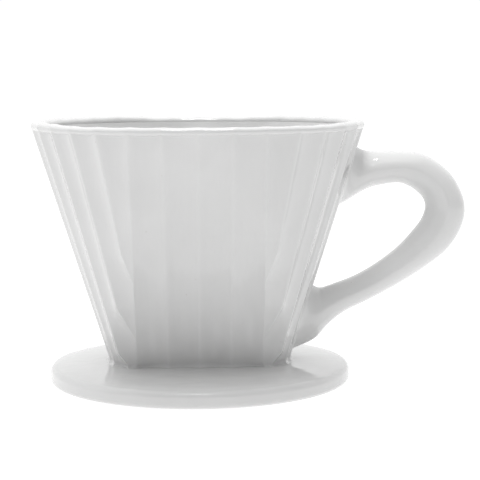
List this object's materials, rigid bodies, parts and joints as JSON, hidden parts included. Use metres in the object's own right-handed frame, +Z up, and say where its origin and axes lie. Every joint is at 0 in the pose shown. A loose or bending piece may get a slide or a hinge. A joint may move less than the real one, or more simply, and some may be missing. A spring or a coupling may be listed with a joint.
{
  "type": "pour over dripper",
  "caption": "Fluted glazed porcelain pour over dripper: wedge-shaped bowl with a loop handle on a round saucer, with a locating ring that sits in a mug.",
  "frame": {"origin": "on the bowl's axis, at the bottom of the locating ring", "axes": "+X towards the handle, +Z up through the bowl, -Y and +Y out of the wedge's two flat faces"},
  "size_m": [0.1569, 0.12, 0.0981],
  "materials": {
    "white_glaze": "clear glossy glaze over white porcelain",
    "bare_clay": "unglazed, fine matt"
  },
  "bodies": {
    "root": {"bowl_wall": "white_glaze", "rim_lip": "white_glaze", "filter_ribs": "white_glaze", "drain_floor": "white_glaze", "saucer": "white_glaze", "foot_bead": "white_glaze", "locating_ring": "bare_clay", "handle": "white_glaze", "handle_upper_joint": "white_glaze", "handle_lower_joint": "white_glaze"}
  },
  "joints": []
}
